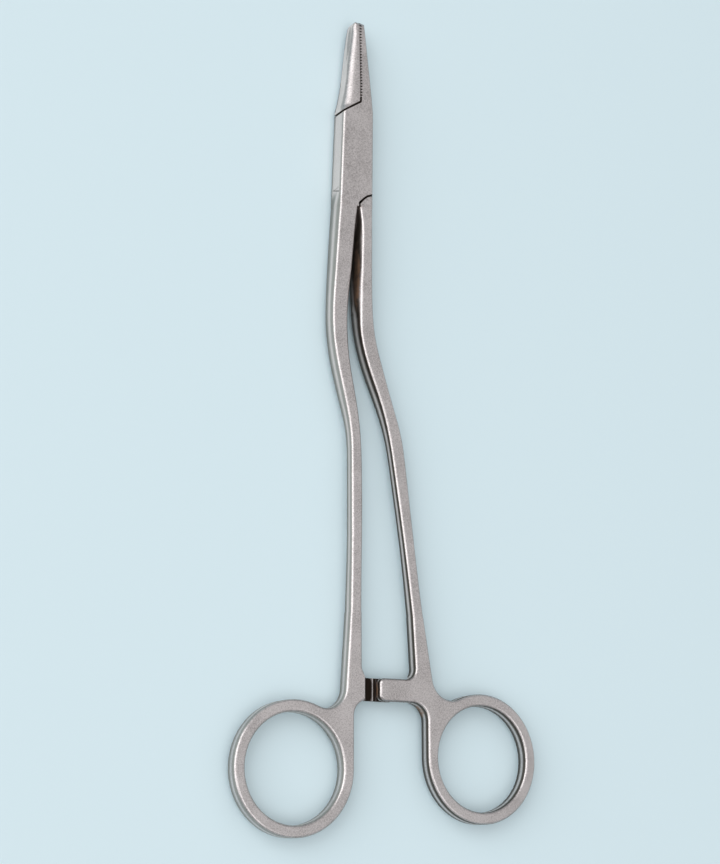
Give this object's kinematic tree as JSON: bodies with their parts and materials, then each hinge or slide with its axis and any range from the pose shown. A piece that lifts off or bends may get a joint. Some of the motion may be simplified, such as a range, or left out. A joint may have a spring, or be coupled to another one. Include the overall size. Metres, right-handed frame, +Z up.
{
  "type": "surgical needle holder",
  "caption": "Box-lock needle holder in satin stainless steel with straight serrated jaws, S-bent shanks, finger rings and a ratchet.",
  "frame": {"origin": "where the pivot axis meets the flat underside of the box, which is the face that the instrument lies on", "axes": "+Z up along the pivot axis, +Y towards the jaw tips along the instrument's length, +X to the side of the tenon half's ring"},
  "size_m": [0.0803, 0.1999, 0.0057],
  "materials": {
    "box_half_steel": "satin",
    "tenon_half_steel": "satin",
    "pivot_pin_steel": "satin"
  },
  "bodies": {
    "box_half": {"box_half": "box_half_steel", "pivot_pin": "pivot_pin_steel"},
    "tenon_half": {"tenon_half": "tenon_half_steel"}
  },
  "joints": [
    {"name": "box_lock", "type": "hinge", "parent": "box_half", "child": "tenon_half", "pos_m": [0, 0, 0.00285], "axis": [0, 0, 1], "range_deg": [0, 40]}
  ]
}
